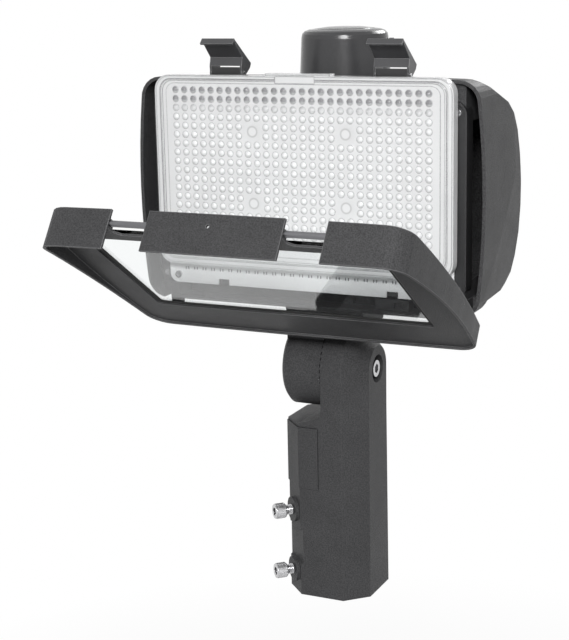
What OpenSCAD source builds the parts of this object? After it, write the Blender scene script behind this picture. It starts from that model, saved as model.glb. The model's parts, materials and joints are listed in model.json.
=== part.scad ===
// Area flood light on a knuckle slipfitter, shown with its glass door swung open.
// The origin is the middle of the tenon socket's mouth, +Z up, the light faces -Y.

/* [Head housing] */
// half width of the housing at the middle of its bowed sides
rim_half_w = 168.5; // [160:0.5:176]
// how far the sides bow out between top and bottom
side_bow = 7; // [4:0.5:9]
// height of the rim from its lower lip to its top corners
rim_h = 204.5; // [195:0.5:215]
// rise of the top edge from the corners to the middle
rim_crown = 2.5; // [1:0.5:3]
// outer corner radius of the rim
rim_corner = 20; // [16:1:24]
// cast wall thickness
wall = 3; // [2.5:0.5:3.5]
// front plane of the rim
rim_front = -68.5; // [-69:0.5:-68.5]
// number of cooling slots in the back
fin_slots = 17; // [5:2:19]

/* [Door] */
// how far the door stands open, in degrees from shut
door_open = 56; // [0:1:95]
// thickness of the door frame's walls
door_wall = 2.5; // [2:0.25:3]
// depth of the skirt at the hinge edge
skirt_low = 18.5; // [17.5:0.5:22]
// depth of the skirt at the free edge
skirt_high = 35.5; // [30:0.5:40]
// thickness of the glass
glass_t = 3.2; // [2.5:0.1:3.2]

/* [Lens plate] */
// lenses in a row
lens_cols = 28; // [20:2:28]
// rows of lenses
lens_rows = 18; // [10:2:18]
// height of a lens above the plate
lens_rise = 2; // [1.2:0.1:2]
// radius of a lens where it meets the plate
lens_r = 3; // [2.5:0.1:3.2]

/* [Slipfitter arm] */
// bore for a nominal 60 mm tenon
tenon_bore_d = 62; // [61:0.5:63]
// depth of the tenon socket
tenon_depth = 90; // [70:1:92]
// width of the octagonal arm
arm_w = 84; // [82:0.5:86]
// height of the knuckle's pivot above the arm's foot
knuckle_z = 222; // [216:0.5:230]
// teeth round each face of the knuckle
knuckle_teeth = 44; // [30:1:48]

/* [Photocell] */
// diameter of the photocell at its foot
cell_d = 84.6; // [78:0.2:86]
// height of the photocell's side
cell_h = 40; // [30:1:46]

/* [Hidden] */
$fn = 48;
sheet = 1.8;
seat_gap = 0.3;
run_gap = 0.08;
bolt_gap = 0.15;

arm_half_x = arm_w / 2;
arm_half_y = 43.5;
arm_chamfer = 20;
arm_draft = 3;
knuckle_y = -1.5;
knuckle_r = 42;
disc_r = 40;
disc_face = 1;
tooth_tip = 0.15;
shoulder_z = knuckle_z - 42;
clamp_bolt_z = [21.5, 82.5];
clamp_boss_r = 12;
cover_high = shoulder_z - 10.6;
cover_low = cover_high - 60.9;

rim_bottom = knuckle_z + 71;
rim_top = rim_bottom + rim_h;
floor_z = rim_bottom + 12;
back_inner = 44;
back_corner = 24;
side_turn = 3.5;
bracket_x = 48;
bracket_y = [-25, 3];
wire_x = -10;

hinge_y = -55.5;
hinge_z = rim_bottom + 8.5;
hinge_x = rim_half_w - 28.5;
hinge_pin_r = 2;
hinge_eye_r = 4.6;
hinge_ear_w = 10;
slot_w = 13;

door_back = -72.5;
door_z = rim_bottom - 6.5;
door_h = rim_top + 8 - door_z;
door_half_w = rim_half_w + 0.1;
bezel_back = 14.5;
bezel_front = 16.5;
opening_half_w = door_half_w - 33.6;
opening_low = 46.5;
opening_high = door_h - 24;
gasket_show = 4;
glass_lap = 7;
glass_back = bezel_back - 1 - glass_t;
clip_v = [75, 125, 175];
clip_u = [-60, 60];
notch_x = 79;
notch_w = 36;
pocket_v = door_h - 14.5;
bar_w = 11.5;
bar_v = door_h - 2.5;
bar_r = 2.75;

tray_half_w = rim_half_w - 17.5;
tray_low = rim_bottom + 16.5;
tray_top = rim_top - 17.5;
tray_seat = -64;
tray_x = tray_half_w - 8;
tray_boss_z = [tray_low + 7.5, tray_top - 10];
board_front = -67.6;
board_back = -66;
board_half_w = tray_half_w - 11;
board_low = tray_low - 1;
board_top = tray_top - 7;
board_screw_x = board_half_w - 9.5;
board_screw_z = [board_low + 7.7, board_top - 7];

plate_front = -79.5;
plate_back = -69;
plate_half_w = board_half_w + 3.5;
plate_low = rim_bottom + 35.5;
plate_top = rim_top + 2.5;
plate_step = 0.4;
grid_low = plate_low + 21.6;
grid_top = plate_top - 13.1;
grid_z = (grid_low + grid_top) / 2;
lens_dx = 2 * (plate_half_w - 22) / (lens_cols - 1);
lens_dz = (grid_top - grid_low) / (lens_rows - 1);
boss_x = 5 * lens_dx;
boss_z = 4 * lens_dz;
sphere_r = (lens_r * lens_r + lens_rise * lens_rise) / (2 * lens_rise);

driver_low = rim_bottom + 57;
driver_high = driver_low + 70;
driver_half_w = 88;
driver_foot = 14;

cell_y = 27;
tower_top = rim_top - 8.5;
tower_r = 35.5;
socket_r = 32;
socket_top = tower_top + 1.4;
cell_foot = socket_top + seat_gap;

latch_x = 80;
latch_w = 32.5;
latch_y = -56;
latch_z = rim_top + 3;
latch_pin_r = 1.5;
pocket_floor = latch_z - 4.5;
latch_screw_y = -50;

charcoal = [0.25, 0.25, 0.26];
black = [0.06, 0.06, 0.06];
steel = [0.72, 0.73, 0.74];
white = [0.93, 0.94, 0.94];

// solid of a (y, z) outline between two x values
module along_x(x0, x1) {
    translate([x0, 0, 0])
        rotate([90, 0, 90])
            linear_extrude(x1 - x0)
                children();
}

// solid of an (x, z) outline between two y values
module along_y(y0, y1) {
    translate([0, y1, 0])
        rotate([90, 0, 0])
            linear_extrude(y1 - y0)
                children();
}

// rod along X
module rod_x(x0, x1, y, z, r) {
    translate([x0, y, z])
        rotate([0, 90, 0])
            cylinder(r = r, h = x1 - x0);
}

// rod along Y
module rod_y(y0, y1, x, z, r) {
    translate([x, y0, z])
        rotate([-90, 0, 0])
            cylinder(r = r, h = y1 - y0);
}

// both sides of the light
module both_sides() {
    children();
    mirror([1, 0, 0])
        children();
}

function bowed_x(w, bow, z0, z1, z) = w - bow * pow((2 * z - z0 - z1) / (z1 - z0), 2);

function edge_points(cx, z, crown) =
    crown == 0 ? [] : [for (i = [0:1:4]) [cx * i / 5, z + crown * (1 - pow(i / 5, 2))]];

function reversed(p) = [for (i = [len(p) - 1:-1:0]) p[i]];

// right half of a frame outline with bowed sides, crowned edges and round corners
function half_outline(w, bow, z0, z1, r, crown0, crown1) =
    let (x0 = bowed_x(w, bow, z0, z1, z0 + r) - r)
    let (x1 = bowed_x(w, bow, z0, z1, z1 - r) - r)
    let (steps = bow == 0 ? 1 : 8)
    concat(
        edge_points(x0, z0, -crown0),
        [for (a = [-90:15:0]) [x0 + r * cos(a), z0 + r + r * sin(a)]],
        [for (i = [1:1:steps - 1])
            let (z = z0 + r + (z1 - z0 - 2 * r) * i / steps)
            [bowed_x(w, bow, z0, z1, z), z]],
        [for (a = [0:15:90]) [x1 + r * cos(a), z1 - r + r * sin(a)]],
        reversed(edge_points(x1, z1, crown1))
    );

module frame_outline(w, bow, z0, z1, r, crown0 = 0, crown1 = 0) {
    half = half_outline(w, bow, z0, z1, r, crown0, crown1);
    other = [for (p = reversed(half)) if (p[0] > 0.01) [-p[0], p[1]]];
    polygon(concat(half, other));
}

// slipfitter arm: octagon tube, clamp bosses and the outer half of the knuckle
module octagon(half_x, half_y, c) {
    polygon([
        [half_x, c - half_y], [half_x, half_y - c], [half_x - c, half_y], [c - half_x, half_y],
        [-half_x, half_y - c], [-half_x, c - half_y], [c - half_x, -half_y], [half_x - c, -half_y]
    ]);
}

module teeth(x_root, x_tip, r) {
    intersection() {
        union() {
            for (i = [0:1:knuckle_teeth - 1])
                translate([0, knuckle_y, knuckle_z])
                    rotate([i * 360 / knuckle_teeth, 0, 0])
                        translate([0, 0, 28])
                            linear_extrude(r - 26)
                                polygon([[x_root, -2.1], [x_root, 2.1], [x_tip, 0]]);
        }
        rod_x(-5, 5, knuckle_y, knuckle_z, r);
    }
}

module clamp_axis(z) {
    translate([0, 0, z])
        rotate([0, 90, -135])
            children();
}

// all that lies in front of a plane that leans in towards the knuckle
module leaning_back(turn, reach, lean) {
    rotate([0, 0, turn])
        along_x(-200, 200)
            polygon([
                [-200, -1], [reach, -1], [reach - lean, shoulder_z],
                [reach - lean, knuckle_z], [-200, knuckle_z]
            ]);
}

module arm_form() {
    // lower octagon, its left shoulder sloping down to the outside
    intersection() {
        linear_extrude(shoulder_z)
            octagon(arm_half_x, arm_half_y, arm_chamfer);
        along_y(-60, 60)
            polygon([
                [50, -1], [50, shoulder_z + 20], [0, shoulder_z], [-22, shoulder_z - 7],
                [-50, shoulder_z - 9], [-50, -1]
            ]);
        leaning_back(0, arm_half_y, arm_draft);
        leaning_back(45, (arm_half_x + arm_half_y - arm_chamfer) / sqrt(2), arm_draft / sqrt(2));
        leaning_back(-45, (arm_half_x + arm_half_y - arm_chamfer) / sqrt(2), arm_draft / sqrt(2));
    }
    // right half carried up to the knuckle
    linear_extrude(knuckle_z)
        polygon([
            [disc_face, -arm_half_y], [arm_half_x - arm_chamfer, -arm_half_y],
            [arm_half_x, arm_chamfer - arm_half_y], [arm_half_x, knuckle_y + knuckle_r - arm_chamfer],
            [arm_half_x - arm_chamfer, knuckle_y + knuckle_r], [disc_face, knuckle_y + knuckle_r]
        ]);
    // round top, the chamfers running over it as a cone
    translate([0, knuckle_y, knuckle_z])
        rotate([0, 90, 0])
            rotate_extrude()
                polygon([
                    [0, disc_face], [knuckle_r, disc_face], [knuckle_r, arm_half_x - arm_chamfer],
                    [knuckle_r - arm_chamfer, arm_half_x], [0, arm_half_x]
                ]);
    teeth(disc_face + 0.05, tooth_tip, knuckle_r);
    // bosses of the two clamp bolts
    for (z = clamp_bolt_z)
        clamp_axis(z)
            translate([0, 0, 36])
                cylinder(r = clamp_boss_r, h = 13.3);
}

module slipfitter() {
    color(charcoal)
        difference() {
            arm_form();
            translate([0, 0, -1])
                cylinder(d = tenon_bore_d, h = tenon_depth + 1);
            cylinder(r = 26, h = tenon_depth + 12);
            translate([0, 0, tenon_depth + 8])
                linear_extrude(shoulder_z - 17 - tenon_depth - 8)
                    octagon(arm_half_x - 6, arm_half_y - 6, 17);
            // wire way up into the knuckle
            translate([disc_face + 6, knuckle_y, shoulder_z - 20])
                cylinder(r = 5, h = knuckle_z - shoulder_z + 8);
            translate([disc_face - 1, knuckle_y, knuckle_z])
                rotate([0, 90, 0])
                    difference() {
                        cylinder(r = 24, h = 9);
                        translate([0, 0, -1])
                            cylinder(r = 9, h = 11);
                    }
            // pivot bolt hole and its counterbore
            rod_x(-2, 50, knuckle_y, knuckle_z, 5 + bolt_gap);
            rod_x(arm_half_x - 11, 50, knuckle_y, knuckle_z, 13.5);
            // clamp bolt threads
            for (z = clamp_bolt_z)
                clamp_axis(z)
                    translate([0, 0, 20])
                        cylinder(r = 5.05, h = 40);
            // shallow recess between the clamp bolts
            translate([0, 0, clamp_bolt_z[0] + 10])
                rotate([0, 0, -135])
                    translate([44.3, -20, 0])
                        cube([20, 40, clamp_bolt_z[1] - clamp_bolt_z[0] - 26]);
            // rebate and window behind the splice cover
            translate([0, 0, cover_low])
                linear_extrude(cover_high - cover_low)
                    polygon([
                        [-2.2, -50], [-50, -50], [-50, -18.7], [-39.5, -18.7],
                        [-39.5, -22.46], [-20.96, -41], [-2.2, -41]
                    ]);
            translate([0, 0, cover_low + 7])
                linear_extrude(cover_high - cover_low - 14)
                    polygon([[-8, -50], [-26, -50], [-44, -26], [-30, -20], [-8, -30]]);
        }
}

module splice_cover() {
    color(charcoal)
        translate([0, 0, cover_low + seat_gap])
            linear_extrude(cover_high - cover_low - 2 * seat_gap)
                polygon([
                    [-2.5, -44.5], [-22.4, -44.5], [-43, -23.9], [-43, -19],
                    [-39.5, -19], [-39.5, -22.46], [-20.96, -41], [-2.5, -41]
                ]);
}

module clamp_bolt(z) {
    color(steel)
        clamp_axis(z)
            difference() {
                union() {
                    translate([0, 0, tenon_bore_d / 2 + 0.2])
                        cylinder(r = 5, h = 26);
                    translate([0, 0, 56.5])
                        cylinder(r = 7.4, h = 10.5);
                }
                translate([0, 0, 62])
                    cylinder(r = 4.2, h = 6, $fn = 6);
            }
}

module clamp_bolt_lower() {
    clamp_bolt(clamp_bolt_z[0]);
}

module clamp_bolt_upper() {
    clamp_bolt(clamp_bolt_z[1]);
}

module knuckle_bolt() {
    color(steel)
        difference() {
            union() {
                rod_x(-38, arm_half_x - 8.9, knuckle_y, knuckle_z, 5);
                rod_x(arm_half_x - 9, arm_half_x - 1, knuckle_y, knuckle_z, 8);
            }
            translate([arm_half_x - 6, knuckle_y, knuckle_z])
                rotate([0, 90, 0])
                    cylinder(r = 4.6, h = 6, $fn = 6);
        }
}

module washer_x(x) {
    difference() {
        rod_x(x, x + 2, knuckle_y, knuckle_z, 12.5);
        rod_x(x - 1, x + 3, knuckle_y, knuckle_z, 5.2);
    }
}

module knuckle_washers() {
    color(steel) {
        washer_x(arm_half_x - 11);
        washer_x(-30.3);
    }
}

module knuckle_nut() {
    color(steel)
        difference() {
            translate([-38.3, knuckle_y, knuckle_z])
                rotate([0, 90, 0])
                    cylinder(r = 9.8, h = 8, $fn = 6);
            rod_x(-40, -28, knuckle_y, knuckle_z, 5.1);
        }
}

module bracket_holes(r, z, h) {
    for (x = [-bracket_x, bracket_x], y = bracket_y)
        translate([x, y, z])
            cylinder(r = r, h = h);
}

module head_knuckle() {
    color(charcoal)
        difference() {
            union() {
                translate([0, knuckle_y, knuckle_z])
                    rotate([0, -90, 0])
                        rotate_extrude()
                            polygon([
                                [0, disc_face], [disc_r, disc_face], [disc_r, 37],
                                [disc_r - 3, 40], [0, 40]
                            ]);
                teeth(-disc_face - 0.05, -tooth_tip, disc_r);
                along_x(-39, -disc_face)
                    polygon([
                        [-28, knuckle_z + 4], [25, knuckle_z + 4], [25, floor_z - 7], [-28, floor_z - 7]
                    ]);
                along_x(-39, 39)
                    polygon([
                        [-26, floor_z - 37], [22, floor_z - 37], [26, floor_z - 25],
                        [15, floor_z - 7], [-36, floor_z - 7], [-28, floor_z - 25]
                    ]);
                translate([0, 0, floor_z - 7.5])
                    linear_extrude(6.5)
                        polygon([
                            [-62, -31], [-56, -37], [56, -37], [62, -31],
                            [62, 9], [56, 15], [-56, 15], [-62, 9]
                        ]);
            }
            // pivot bore, nut well and wire way
            rod_x(-45, 5, knuckle_y, knuckle_z, 5 + run_gap);
            rod_x(-45, -28, knuckle_y, knuckle_z, 13.5);
            translate([-8, knuckle_y, knuckle_z])
                rotate([0, 90, 0])
                    difference() {
                        cylinder(r = 24, h = 9);
                        translate([0, 0, -1])
                            cylinder(r = 9, h = 11);
                    }
            translate([wire_x, knuckle_y, knuckle_z + 12])
                cylinder(r = 6, h = 90);
            bracket_holes(3.1, floor_z - 6, 10);
        }
}

module bracket_gasket() {
    color(black)
        difference() {
            translate([0, 0, floor_z - 1])
                linear_extrude(1)
                    polygon([
                        [-61, -31], [-55, -36], [55, -36], [61, -31],
                        [61, 9], [55, 14], [-55, 14], [-61, 9]
                    ]);
            translate([wire_x, knuckle_y, floor_z - 2])
                cylinder(r = 6.5, h = 3);
            bracket_holes(3.3, floor_z - 2, 3);
        }
}

module bracket_screws() {
    color(steel)
        difference() {
            union() {
                bracket_holes(3, floor_z - 5.7, wall + 5.8);
                bracket_holes(5, floor_z + wall, 4);
            }
            for (x = [-bracket_x, bracket_x], y = bracket_y)
                translate([x, y, floor_z + wall + 2])
                    cylinder(r = 2.4, h = 3, $fn = 6);
        }
}

// side view of the housing, its lower points measured from the lip and its upper ones from the top
side_profile = [
    [rim_front, rim_bottom - 1], [-46, rim_bottom - 1], [-43, floor_z], [12, floor_z],
    [24, floor_z + 3.5], [42, floor_z + 12], [52, floor_z + 26], [60, floor_z + 47], [63, floor_z + 73],
    [62, rim_top - 97.5], [58, rim_top - 72.5], [51, rim_top - 50.5], [40, rim_top - 34.5],
    [24, rim_top - 24], [-40, rim_top - 3], [rim_front, rim_top + 4.5]
];

cavity_profile = [
    [rim_front - 1.5, rim_bottom - 3], [-48, rim_bottom - 3], [-45, floor_z + wall],
    [8, floor_z + wall], [26, floor_z + 9], [back_inner, floor_z + 35],
    [back_inner, rim_top - 57.5], [30, rim_top - 39.5],
    [18, rim_top - 27.5], [-41, rim_top - 6.1], [rim_front - 1.5, rim_top + 1.9]
];

module plan_outline(half_front, half_back, back, r) {
    corner = [for (a = [0:15:90]) [half_back - r + r * cos(a), back - r + r * sin(a)]];
    right = concat([[half_front, rim_front - 2], [half_front, 20]], corner);
    left = [for (p = reversed(right)) [-p[0], p[1]]];
    polygon(concat(right, left));
}

// a side profile carried round the rear corner: its reach in a direction turned away from the back
module turned_profile(profile, half, r, turn) {
    rotate([0, 0, -turn])
        along_x(-500, 500)
            polygon(concat(
                [[-400, profile[0][1]], [half - r, profile[0][1]]],
                [for (i = [3:1:len(profile) - 1])
                    [(half - r) * sin(turn) + (profile[i][0] - r) * cos(turn) + r, profile[i][1]]],
                [[-400, profile[len(profile) - 1][1]]]
            ));
}

// the bowed side, turned in behind a crease that leans forward on its way down
module creased_side(half, y, z, lean) {
    translate([half, y, z])
        rotate([-lean, 0, 0])
            rotate([0, 0, side_turn])
                rotate([lean, 0, 0])
                    translate([-half, -y, -z])
                        along_y(-400, 400)
                            polygon(concat(
                                [for (v = [rim_bottom - 60:20:rim_top + 60])
                                    [bowed_x(half, side_bow, rim_bottom, rim_top, v), v]],
                                [[-600, rim_top + 60], [-600, rim_bottom - 60]]
                            ));
}

// shell form of the housing or, with an inset, of its cavity
module shell_form(profile, inset, front, back) {
    half = rim_half_w - inset;
    intersection() {
        along_y(front, 80)
            frame_outline(
                half, side_bow, rim_bottom + inset, rim_top - inset, rim_corner - inset, 0, rim_crown
            );
        along_x(-180, 180)
            polygon(profile);
        linear_extrude(rim_top + 100)
            plan_outline(half + 1, half - 1.5, back, back_corner - inset);
        turned_profile(profile, half - 4, back_corner - inset, 65);
        turned_profile(profile, half - 4, back_corner - inset, 40);
        mirror([1, 0, 0])
            turned_profile(profile, half - 4, back_corner - inset, 65);
        mirror([1, 0, 0])
            turned_profile(profile, half - 4, back_corner - inset, 40);
        creased_side(half, 17.5, rim_top - 62.5, 0);
        creased_side(half, -16.7, floor_z + 59, 36);
        mirror([1, 0, 0])
            creased_side(half, 17.5, rim_top - 62.5, 0);
        mirror([1, 0, 0])
            creased_side(half, -16.7, floor_z + 59, 36);
    }
}

module housing_form() {
    shell_form(side_profile, 0, rim_front, 66);
}

module cavity_form() {
    shell_form(cavity_profile, wall, rim_front - 1, back_inner + 1);
}

module hinge_slot() {
    // swept way of the door's ear: a round pocket for its eye, open below and in front
    along_x(hinge_x - slot_w / 2, hinge_x + slot_w / 2) {
        translate([hinge_y, hinge_z])
            circle(r = hinge_eye_r + 0.5);
        intersection() {
            translate([hinge_y, hinge_z])
                circle(r = 25);
            polygon([
                [-90, hinge_z - 31.5], [-90, hinge_z + 5.1], [hinge_y, hinge_z + 5.1],
                [hinge_y + 5, hinge_z + 1], [-44, hinge_z - 3.5], [-25, hinge_z - 3.5],
                [-25, hinge_z - 31.5]
            ]);
        }
    }
}

module latch_spots() {
    for (x = [-latch_x, latch_x])
        translate([x, 0, 0])
            children();
}

module housing_insides() {
    // walls round the hinge pockets
    both_sides()
        along_x(hinge_x - slot_w / 2 - 4, hinge_x + slot_w / 2 + 4)
            polygon([
                [rim_front, rim_bottom - 1], [rim_front, rim_bottom + 15], [-41, rim_bottom + 15],
                [-41, rim_bottom - 1]
            ]);
    // bosses that carry the tray
    for (x = [-tray_x, tray_x]) {
        translate([x - 6, tray_seat, rim_bottom + 7])
            cube([12, 40, 24]);
        translate([x - 6, tray_seat, tray_top - 18])
            cube([12, 110, 40]);
    }
    // thick places under the latches
    latch_spots()
        translate([-20, -66.5, pocket_floor - 5.5])
            cube([40, 25, 12]);
    // ribs of the lower lip
    for (x = [1, 37])
        translate([x, -52, rim_bottom])
            cube([2, 10, 14]);
}

module housing() {
    color(charcoal)
        difference() {
            union() {
                difference() {
                    union() {
                        housing_form();
                        // round stand of the photocell
                        translate([0, cell_y, rim_top - 57.5])
                            cylinder(r = tower_r, h = tower_top - rim_top + 57.5);
                    }
                    cavity_form();
                    // hollow of the stand, open to the housing
                    translate([0, cell_y, rim_top - 53.5])
                        cylinder(r = tower_r - 4, h = tower_top - rim_top + 44.5);
                }
                intersection() {
                    housing_form();
                    housing_insides();
                }
            }
            // cooling slots down the back
            for (i = [0:1:fin_slots - 1])
                translate([(i - (fin_slots - 1) / 2) * 14 - 3.5, back_inner + 7, rim_bottom + 7])
                    cube([7, 30, rim_h - 69.5]);
            // photocell stand: seat of the socket and the wire way under it
            translate([0, cell_y, tower_top - 6])
                cylinder(r = socket_r + seat_gap, h = 10);
            translate([0, cell_y - 8, tower_top - 15])
                cylinder(r = 8, h = 20);
            // hinge pockets and pin holes
            both_sides() {
                hinge_slot();
                rod_x(hinge_x - 9.5, hinge_x + 9.5, hinge_y, hinge_z, hinge_pin_r + run_gap);
            }
            // pockets and screw holes of the latches
            latch_spots() {
                translate([-17.5, -63, pocket_floor])
                    cube([35, 19.5, 12]);
                for (x = [-6, 6])
                    translate([x, latch_screw_y, pocket_floor - 4])
                        cylinder(r = 1.6, h = 10);
            }
            // screw holes of the tray, the driver and the bracket
            for (x = [-tray_x, tray_x], z = tray_boss_z)
                rod_y(tray_seat - 1, tray_seat + 14, x, z, 1.9);
            driver_spots(back_inner - 1, back_inner + 5, 1.9);
            bracket_holes(3.3, floor_z - 1, 6);
            translate([wire_x, knuckle_y, floor_z - 1])
                cylinder(r = 6, h = 6);
        }
}

module hinge_pins() {
    color(steel)
        both_sides()
            rod_x(hinge_x - 9.4, hinge_x + 9.4, hinge_y, hinge_z, hinge_pin_r);
}

module led_tray() {
    color(black)
        difference() {
            union() {
                along_y(board_back, tray_seat)
                    frame_outline(tray_half_w, 0, tray_low, tray_top, 12);
                along_y(board_back - 2, tray_seat + 12)
                    difference() {
                        frame_outline(tray_half_w, 0, tray_low, tray_top, 12);
                        frame_outline(tray_half_w - 2, 0, tray_low + 2, tray_top - 2, 10);
                    }
            }
            // the front rim stops short of the board's lower edge
            translate([-tray_half_w - 5, board_back - 3, tray_low - 9.5])
                cube([2 * tray_half_w + 10, 3, 20]);
            for (x = [-tray_x, tray_x], z = tray_boss_z) {
                rod_y(-70, -60, x, z, 2.2);
                translate([x - 6.5, tray_seat, z - 14])
                    cube([13, 20, 28]);
            }
            for (x = [-board_screw_x, board_screw_x], z = board_screw_z)
                rod_y(-70, -60, x, z, 1.6);
            for (x = [-boss_x, boss_x], z = [grid_z - boss_z, grid_z + boss_z])
                rod_y(-70, -60, x, z, 2.1);
        }
}

module pan_screw(x, y, z, r, head_r, long) {
    difference() {
        union() {
            rod_y(y - 0.1, y + long, x, z, r);
            rod_y(y - 2, y, x, z, head_r);
        }
        translate([x - 0.5, y - 3, z - head_r + 0.8])
            cube([1, 2, 2 * head_r - 1.6]);
        translate([x - head_r + 0.8, y - 3, z - 0.5])
            cube([2 * head_r - 1.6, 2, 1]);
    }
}

module tray_screws() {
    color(steel)
        for (x = [-tray_x, tray_x], z = tray_boss_z)
            pan_screw(x, board_back, z, 1.8, 2.8, 12);
}

module led_board() {
    color(white)
        difference() {
            along_y(board_front, board_back)
                frame_outline(board_half_w, 0, board_low, board_top, 8.5);
            for (x = [-83.5, 83.5])
                translate([x - 5.5, board_front - 2.4, board_low - 1])
                    cube([11, 6, 6.5]);
            for (x = [-board_screw_x, board_screw_x], z = board_screw_z)
                rod_y(-70, -60, x, z, 1.7);
            for (x = [-boss_x, boss_x], z = [grid_z - boss_z, grid_z + boss_z])
                rod_y(-70, -60, x, z, 2.1);
            for (x = [-tray_x, tray_x], z = tray_boss_z)
                rod_y(-70, -60, x, z, 3.3);
        }
}

module board_screws() {
    color(steel)
        for (x = [-board_screw_x, board_screw_x], z = board_screw_z)
            pan_screw(x, board_front, z, 1.5, 3.2, 5);
}

// outline of the lens plate's face, inset less along its top edge
module plate_outline(inset) {
    frame_outline(
        plate_half_w - inset, 0, plate_low + inset, plate_top - inset * 0.6, 14 - inset / 2
    );
}

// closed ring between two insets of that outline
module plate_ring(outer, inner) {
    difference() {
        plate_outline(outer);
        plate_outline(inner);
    }
}

module lens_plate() {
    color([0.86, 0.88, 0.9, 0.75])
        difference() {
            union() {
                along_y(plate_front, plate_back)
                    frame_outline(plate_half_w, 0, plate_low, plate_top, 14);
                // moulded tab in the middle of the top edge
                translate([-31, plate_front, plate_top - 8])
                    cube([62, plate_back - plate_front, 10]);
                for (i = [0:1:lens_cols - 1], j = [0:1:lens_rows - 1])
                    let (x = (i - (lens_cols - 1) / 2) * lens_dx)
                    let (dz = (j - (lens_rows - 1) / 2) * lens_dz)
                    if (abs(abs(x) - boss_x) > 5 || abs(abs(dz) - boss_z) > 5)
                        translate([x, plate_front - lens_rise + sphere_r, grid_z + dz])
                            sphere(r = sphere_r, $fn = 24);
            }
            difference() {
                along_y(plate_front + 5, plate_back + 1)
                    frame_outline(plate_half_w - 2.5, 0, plate_low + 2.5, plate_top - 2.5, 11.5);
                lens_bosses();
            }
            // stepped border round the face
            along_y(plate_front - 1, plate_front + plate_step)
                plate_ring(-1, 1.6);
            along_y(plate_front - 1, plate_front + 2 * plate_step)
                plate_ring(5.4, 6.6);
            along_y(plate_front - 1, plate_front + plate_step)
                plate_ring(8.2, 12);
            // recess in the tab, between its two lugs
            translate([-22, plate_front - 1, plate_top - 6.5])
                cube([38, 1 + 2 * plate_step, 6]);
            for (x = [-boss_x, boss_x], z = [grid_z - boss_z, grid_z + boss_z])
                rod_y(board_front - 6, -60, x, z, 1.75);
        }
    color([0.86, 0.88, 0.9, 0.75])
        difference() {
            intersection() {
                lens_bosses();
                along_y(plate_back - 0.1, board_front)
                    square([400, 1200], center = true);
            }
            for (x = [-boss_x, boss_x], z = [grid_z - boss_z, grid_z + boss_z])
                rod_y(board_front - 6, -60, x, z, 1.75);
        }
}

module lens_bosses() {
    for (x = [-boss_x, boss_x], z = [grid_z - boss_z, grid_z + boss_z])
        rod_y(plate_front + 3, board_front, x, z, 6);
}

module lens_screws() {
    color(steel)
        for (x = [-boss_x, boss_x], z = [grid_z - boss_z, grid_z + boss_z]) {
            rod_y(board_front - 5, tray_seat + 0.1, x, z, 1.7);
            rod_y(tray_seat, tray_seat + 2.2, x, z, 3.4);
        }
}

module driver_spots(y0, y1, r) {
    for (x = [-driver_half_w - 7, driver_half_w + 7], z = [driver_low + 10, driver_high - 10])
        rod_y(y0, y1, x, z, r);
}

module driver() {
    color([0.55, 0.56, 0.57])
        difference() {
            union() {
                translate([-driver_half_w, back_inner - 32, driver_low])
                    cube([2 * driver_half_w, 32, driver_high - driver_low]);
                translate([-driver_half_w - driver_foot, back_inner - 2, driver_low])
                    cube([2 * (driver_half_w + driver_foot), 2, driver_high - driver_low]);
            }
            driver_spots(back_inner - 5, back_inner + 1, 2.2);
        }
}

module driver_screws() {
    color(steel) {
        driver_spots(back_inner - 2.1, back_inner + 4.5, 1.8);
        driver_spots(back_inner - 4, back_inner - 2, 3.4);
    }
}

module terminal_block() {
    color([0.2, 0.2, 0.2])
        difference() {
            translate([65, -62, rim_bottom + wall])
                cube([32, 12, 10]);
            for (x = [71, 81, 91])
                translate([x, -56, rim_bottom + wall + 4])
                    cylinder(r = 3, h = 8);
            translate([83, -63, rim_bottom + wall + 2])
                cube([9, 4, 5]);
        }
}

module photocell_socket() {
    color(black)
        translate([0, cell_y, 0])
            difference() {
                translate([0, 0, tower_top - 6])
                    cylinder(r = socket_r, h = socket_top - tower_top + 6);
                translate([0, 0, socket_top - 5])
                    difference() {
                        cylinder(r = 23, h = 6);
                        translate([0, 0, -1])
                            cylinder(r = 18, h = 8);
                    }
            }
}

module photocell_blades() {
    color([0.75, 0.6, 0.25])
        for (a = [0, 120, 240])
            translate([0, cell_y, 0])
                rotate([0, 0, a])
                    translate([19.7, -4, cell_foot - 4.5])
                        cube([1.6, 8, 4.5]);
}

module photocell_base() {
    color(charcoal)
        translate([0, cell_y, cell_foot])
            cylinder(d = cell_d, h = 6);
}

module photocell_cap() {
    color(charcoal)
        translate([0, cell_y, cell_foot + 6])
            rotate_extrude($fn = 96)
                polygon([
                    [0, 0], [cell_d / 2 - 0.3, 0], [cell_d / 2 - 2, cell_h - 8],
                    [cell_d / 2 - 2.7, cell_h - 4.6], [cell_d / 2 - 5, cell_h - 2.2],
                    [cell_d / 2 - 9, cell_h - 0.8], [28, cell_h - 0.2],
                    [27, cell_h - 1], [25.5, cell_h + 0.2], [17, cell_h + 1.3], [0, cell_h + 2]
                ]);
}

module photocell_eye() {
    color([0.5, 0.5, 0.5])
        translate([0, cell_y, cell_foot + cell_h - 5])
            rotate([0, 90, 20])
                translate([0, 0, cell_d / 2 - 1.4])
                    cylinder(r = 1.6, h = 4.6);
}

function skirt(s) = skirt_low + (skirt_high - skirt_low) * s - 20 * s * (1 - s);

module door_pose() {
    translate([0, hinge_y, hinge_z])
        rotate([door_open, 0, 0])
            translate([0, -hinge_y, -hinge_z])
                children();
}

// solid between two depths of the shut door, measured forward from its back edge
module door_slice(w0, w1) {
    along_y(door_back - w1, door_back - w0)
        children();
}

module door_outline(inset) {
    frame_outline(
        door_half_w - inset, side_bow, door_z + inset, door_z + door_h - inset,
        21 - inset, 1.5, 2.5
    );
}

// outline of the window, grown or, with a negative margin, shrunk
module window_outline(margin) {
    frame_outline(
        opening_half_w + margin, 0, door_z + opening_low - margin, door_z + opening_high + margin, 4
    );
}

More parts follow.
